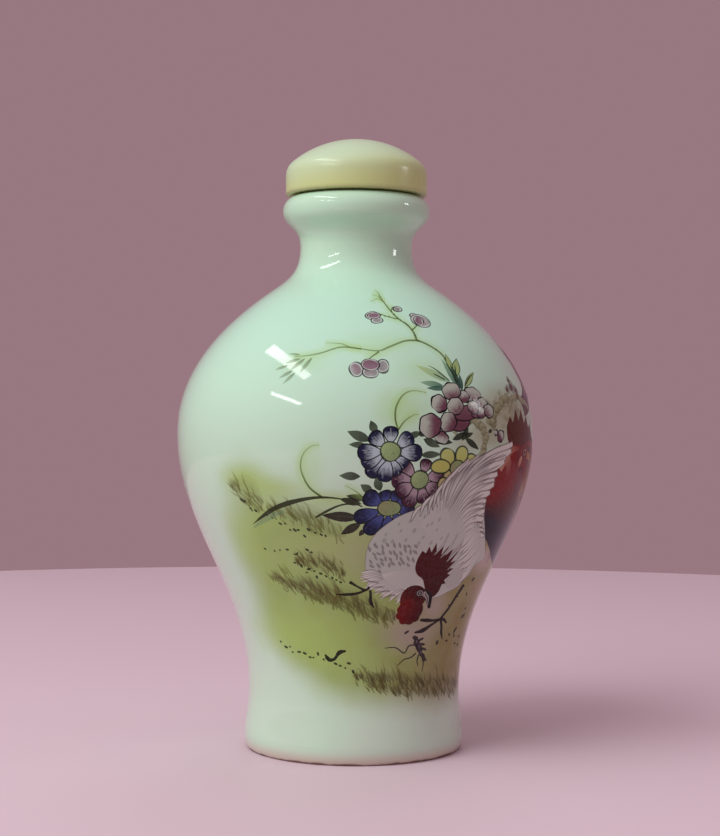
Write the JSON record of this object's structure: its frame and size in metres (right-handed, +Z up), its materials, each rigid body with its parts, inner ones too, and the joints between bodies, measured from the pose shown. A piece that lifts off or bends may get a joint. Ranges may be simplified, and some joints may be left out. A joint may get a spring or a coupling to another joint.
{
  "type": "snuff bottle",
  "caption": "Small glazed porcelain snuff bottle of baluster form, hollow, with a rolled lip, a recessed foot and a domed lift-off stopper.",
  "frame": {"origin": "middle of the foot ring, on the surface that the bottle stands on", "axes": "+Z up along the axis of the turned body, out of the mouth; the painted picture faces -Y"},
  "size_m": [0.044, 0.044, 0.0749],
  "materials": {
    "glaze": "glossy pale green glaze with a painted enamel picture and an unglazed foot ring",
    "ivory": "polished cream moulded cap"
  },
  "bodies": {
    "root": {"bottle": "glaze", "stopper": "ivory"}
  },
  "joints": []
}
